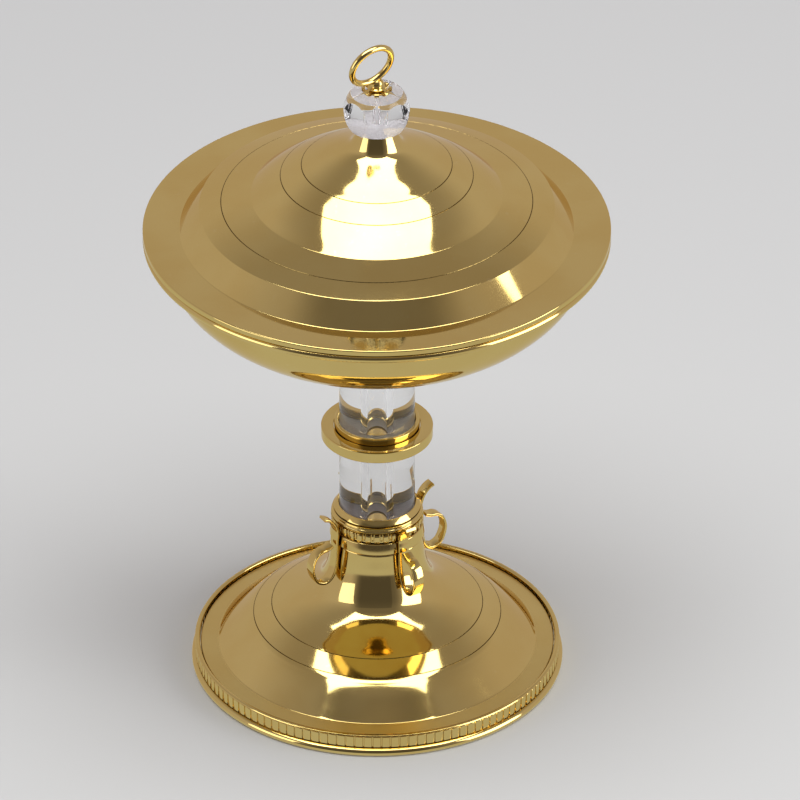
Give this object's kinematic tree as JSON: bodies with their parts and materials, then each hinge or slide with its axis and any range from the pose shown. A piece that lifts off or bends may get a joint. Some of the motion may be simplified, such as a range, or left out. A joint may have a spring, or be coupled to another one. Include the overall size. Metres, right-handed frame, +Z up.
{
  "type": "lidded chalice",
  "caption": "Shallow lidded bowl on a stem of clear crystal columns with scroll handles and a round bell-shaped foot.",
  "frame": {"origin": "centre of the foot's underside, on the surface that the vessel stands on", "axes": "+Z up along the vessel's axis; -Y is the front, with the scroll handles at about 45 degrees to X and Y"},
  "size_m": [0.1488, 0.1488, 0.2321],
  "materials": {
    "gilt_brass": "mirror polished gilding with fine swirl marks",
    "crystal": "clear, polished",
    "steel": "turned, plain"
  },
  "bodies": {
    "vessel": {"foot_shell": "gilt_brass", "foot_base_bead": "gilt_brass", "foot_gallery_band": "gilt_brass", "foot_rim_strip": "gilt_brass", "collar_lip": "gilt_brass", "collar_toothed_band": "gilt_brass", "collar_bead_ring": "gilt_brass", "crystal_cup": "gilt_brass", "scroll_handle_1": "gilt_brass", "scroll_handle_2": "gilt_brass", "scroll_handle_3": "gilt_brass", "scroll_handle_4": "gilt_brass", "node_socket": "gilt_brass", "node_flange": "gilt_brass", "upper_socket": "gilt_brass", "bowl_boss": "gilt_brass", "bowl_shell": "gilt_brass", "bowl_rim_wire": "gilt_brass", "lower_crystal": "crystal", "upper_crystal": "crystal", "foot_washer": "steel", "foot_nut": "steel"},
    "lid": {"lid_shell": "gilt_brass", "lid_locating_ring": "gilt_brass", "knob_seat": "gilt_brass", "crystal_knob": "crystal", "finial_rosette": "gilt_brass", "finial_cap": "gilt_brass", "finial_ring": "gilt_brass"}
  },
  "joints": [
    {"name": "lid_lift", "type": "slide", "parent": "vessel", "child": "lid", "axis": [0, 0, 1], "range_m": [0, 0.06]}
  ]
}
